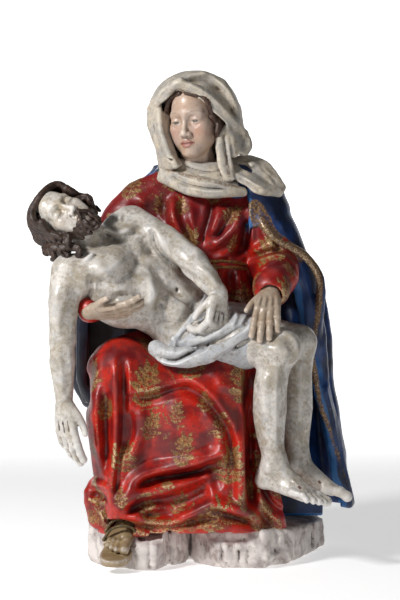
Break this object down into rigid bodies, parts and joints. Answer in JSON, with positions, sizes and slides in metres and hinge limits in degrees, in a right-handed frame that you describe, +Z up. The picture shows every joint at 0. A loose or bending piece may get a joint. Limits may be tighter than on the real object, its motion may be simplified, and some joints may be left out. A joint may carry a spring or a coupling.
{
  "type": "pieta statue",
  "caption": "Carved and painted pieta: a seated, hooded mother holds her dead son across her lap, on a low rock base.",
  "frame": {"origin": "middle of the flat underside of the base", "axes": "+Z up, from the underside to the top of the veil; -Y towards the viewer of the front; +X to the viewer's right"},
  "size_m": [0.7967, 0.5151, 1.1961],
  "materials": {
    "paint": "carved wood under worn red, blue, white and flesh paint with gilding",
    "stone": "carved wood base painted chalky white-grey as rock, worn and cracked"
  },
  "bodies": {
    "root": {"figures": "paint", "rock_base": "stone"}
  },
  "joints": []
}
